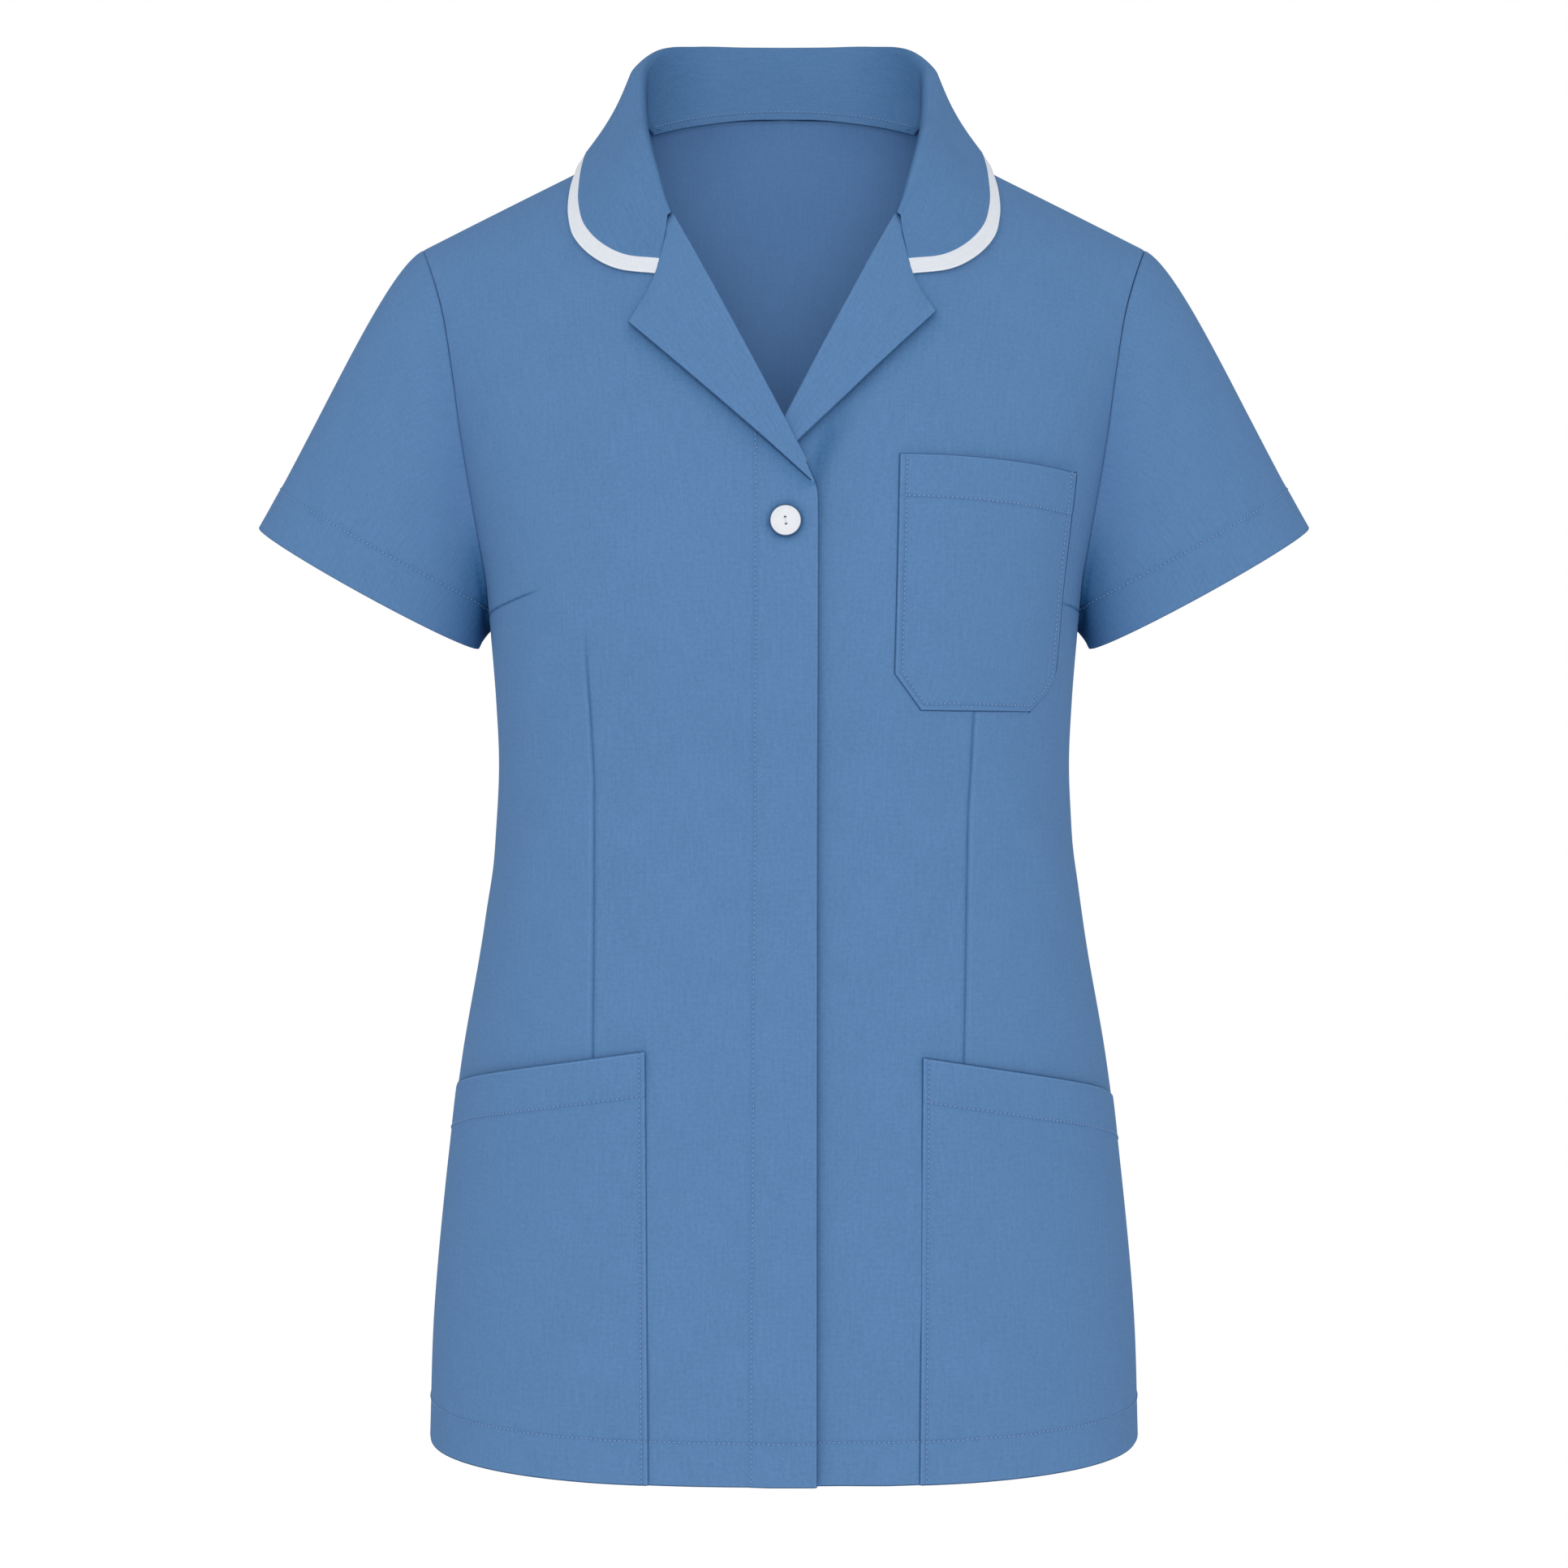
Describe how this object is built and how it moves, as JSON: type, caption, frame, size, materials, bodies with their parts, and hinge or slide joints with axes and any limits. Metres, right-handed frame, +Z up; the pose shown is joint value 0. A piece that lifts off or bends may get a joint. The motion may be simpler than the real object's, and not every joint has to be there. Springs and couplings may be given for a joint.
{
  "type": "work tunic",
  "caption": "Women's short-sleeved work tunic with a rounded revere collar edged in white, a chest pocket and hip pockets, filled out as if worn.",
  "frame": {"origin": "between the shoulders, midway between the points where neckline and shoulder seams meet, where the wearer's shoulders hold the tunic up", "axes": "+Z up, +X towards the wearer's left, front facing -Y"},
  "size_m": [0.5838, 0.2592, 0.7784],
  "materials": {
    "tunic_cloth": "matte mid-blue plain weave",
    "trim_cloth": "matte white woven edging",
    "button_resin": "white resin, soft gloss"
  },
  "bodies": {
    "root": {"front_right": "tunic_cloth", "front_left": "tunic_cloth", "back": "tunic_cloth", "sleeve_right": "tunic_cloth", "sleeve_left": "tunic_cloth", "collar": "tunic_cloth", "collar_trim": "trim_cloth", "lapel_right": "tunic_cloth", "lapel_left": "tunic_cloth", "chest_pocket": "tunic_cloth", "hip_pocket_right": "tunic_cloth", "hip_pocket_left": "tunic_cloth", "button": "button_resin"}
  },
  "joints": []
}
